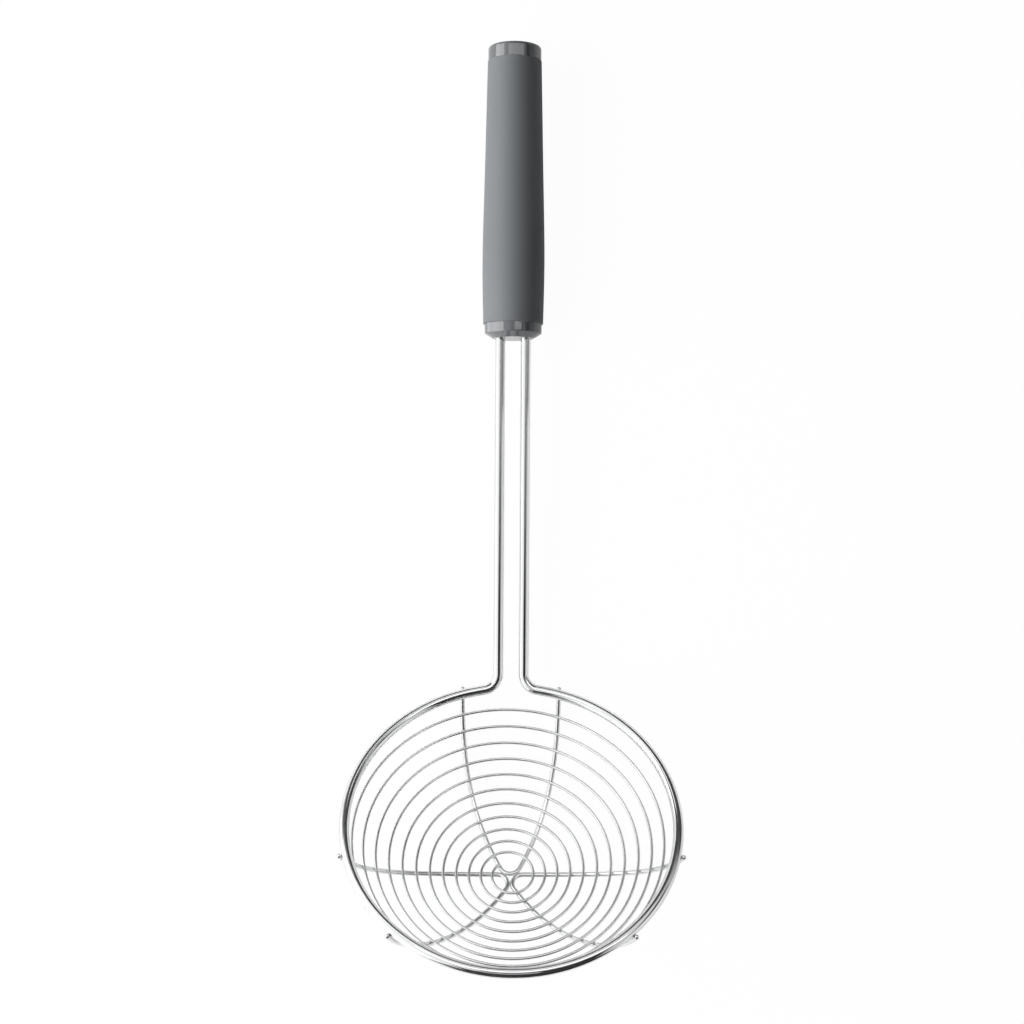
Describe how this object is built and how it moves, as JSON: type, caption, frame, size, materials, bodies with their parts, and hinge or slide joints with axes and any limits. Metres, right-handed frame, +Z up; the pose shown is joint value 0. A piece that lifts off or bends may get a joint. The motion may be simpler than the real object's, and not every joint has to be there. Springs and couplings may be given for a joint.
{
  "type": "wire skimmer",
  "caption": "Hand-held wire skimmer: a spiral-wound bowl on V-shaped ribs, welded to a bent wire frame whose twin rods enter a round soft-grip handle. It lifts food out of hot liquid.",
  "frame": {"origin": "bottom centre of the whole tool's box, on the table that the tool lies on", "axes": "+Z up from the table, +Y along the tool from the bowl to the handle's butt, +X to the right when seen from above with the handle at the top"},
  "size_m": [0.1376, 0.3768, 0.0942],
  "materials": {
    "polished_wire": "mirror-polished stainless steel",
    "drawn_wire": "bright drawn stainless steel",
    "glossy_end": "glossy dark grey moulding",
    "hard_core": "plain moulded",
    "soft_grip": "matte soft-touch"
  },
  "bodies": {
    "root": {"frame_wire": "polished_wire", "rib_wire_rear": "drawn_wire", "rib_wire_left": "drawn_wire", "rib_wire_right": "drawn_wire", "spiral_wire": "drawn_wire", "ferrule": "glossy_end", "handle_core": "hard_core", "grip_sleeve": "soft_grip", "end_cap": "glossy_end"}
  },
  "joints": []
}
